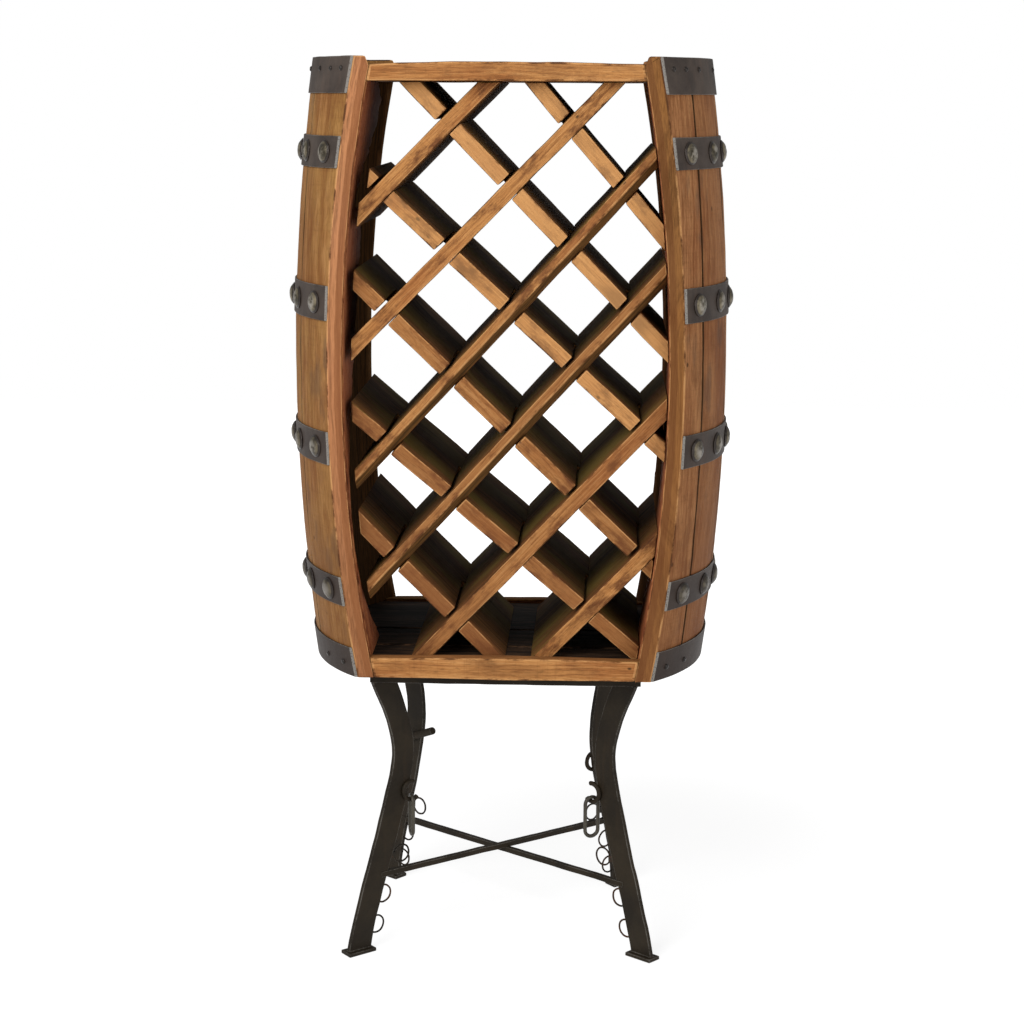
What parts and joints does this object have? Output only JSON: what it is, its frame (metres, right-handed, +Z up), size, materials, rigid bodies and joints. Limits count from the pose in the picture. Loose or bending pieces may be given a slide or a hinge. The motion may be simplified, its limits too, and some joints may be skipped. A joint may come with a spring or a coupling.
{
  "type": "barrel wine rack",
  "caption": "Wine rack made from two cut barrel walls with a diagonal bottle lattice between them, on a splayed iron stand with hanging links.",
  "frame": {"origin": "on the floor, below the middle of the barrel", "axes": "+Z up, the front with the unbroken lattice edges faces -Y, +X to the right seen from the front"},
  "size_m": [0.703, 0.424, 1.41],
  "materials": {
    "stave_wood": "aged barrel oak, oiled",
    "lattice_wood": "reclaimed oak, waxed, worn edges",
    "lining_wood": "reddish split oak",
    "rail_wood": "reclaimed oak, waxed",
    "board_wood": "dark weathered boards",
    "band_iron": "aged hoop iron",
    "nail_iron": "hammered, rubbed bright on top",
    "stand_iron": "blackened iron with rust at the edges",
    "wire_iron": "rusty wire",
    "link_steel": "worn grey steel"
  },
  "bodies": {
    "rack": {"band_left_1": "band_iron", "band_left_2": "band_iron", "band_left_3": "band_iron", "band_left_4": "band_iron", "band_left_5": "band_iron", "band_left_6": "band_iron", "band_nails": "nail_iron", "band_right_1": "band_iron", "band_right_2": "band_iron", "band_right_3": "band_iron", "band_right_4": "band_iron", "band_right_5": "band_iron", "band_right_6": "band_iron", "bottom_rail_front": "rail_wood", "bottom_rail_rear": "rail_wood", "brace_high": "stand_iron", "brace_low": "stand_iron", "dome_nails": "nail_iron", "frame_end_bars": "stand_iron", "frame_long_bars": "stand_iron", "hooks": "link_steel", "lattice_fall_1": "lattice_wood", "lattice_fall_2": "lattice_wood", "lattice_fall_3": "lattice_wood", "lattice_fall_4": "lattice_wood", "lattice_fall_5": "lattice_wood", "lattice_fall_6": "lattice_wood", "lattice_rise_1": "lattice_wood", "lattice_rise_2": "lattice_wood", "lattice_rise_3": "lattice_wood", "lattice_rise_4": "lattice_wood", "lattice_rise_5": "lattice_wood", "lattice_rise_6": "lattice_wood", "leg_front_left": "stand_iron", "leg_front_right": "stand_iron", "leg_rear_left": "stand_iron", "leg_rear_right": "stand_iron", "lining_left": "lining_wood", "lining_right": "lining_wood", "peg_rear_left": "link_steel", "shelf_boards": "board_wood", "stave_left_1": "stave_wood", "stave_left_2": "stave_wood", "stave_left_3": "stave_wood", "stave_left_4": "stave_wood", "stave_right_1": "stave_wood", "stave_right_2": "stave_wood", "stave_right_3": "stave_wood", "stave_right_4": "stave_wood", "stave_right_5": "stave_wood", "top_boards": "board_wood", "top_rail_front": "rail_wood", "top_rail_rear": "rail_wood", "wire_loops": "wire_iron"},
    "hanging_link_left": {"link_left": "link_steel"},
    "hanging_link_right": {"link_right": "link_steel"}
  },
  "joints": [
    {"name": "left_link_swing", "type": "hinge", "parent": "rack", "child": "hanging_link_left", "pos_m": [-0.15118, -0.12584, 0.237], "axis": [0.766, 0.6428, 0], "range_deg": [-40, 40]},
    {"name": "right_link_swing", "type": "hinge", "parent": "rack", "child": "hanging_link_right", "pos_m": [0.13786, -0.1197, 0.237], "axis": [0.766, -0.6428, 0], "range_deg": [-40, 40]}
  ]
}
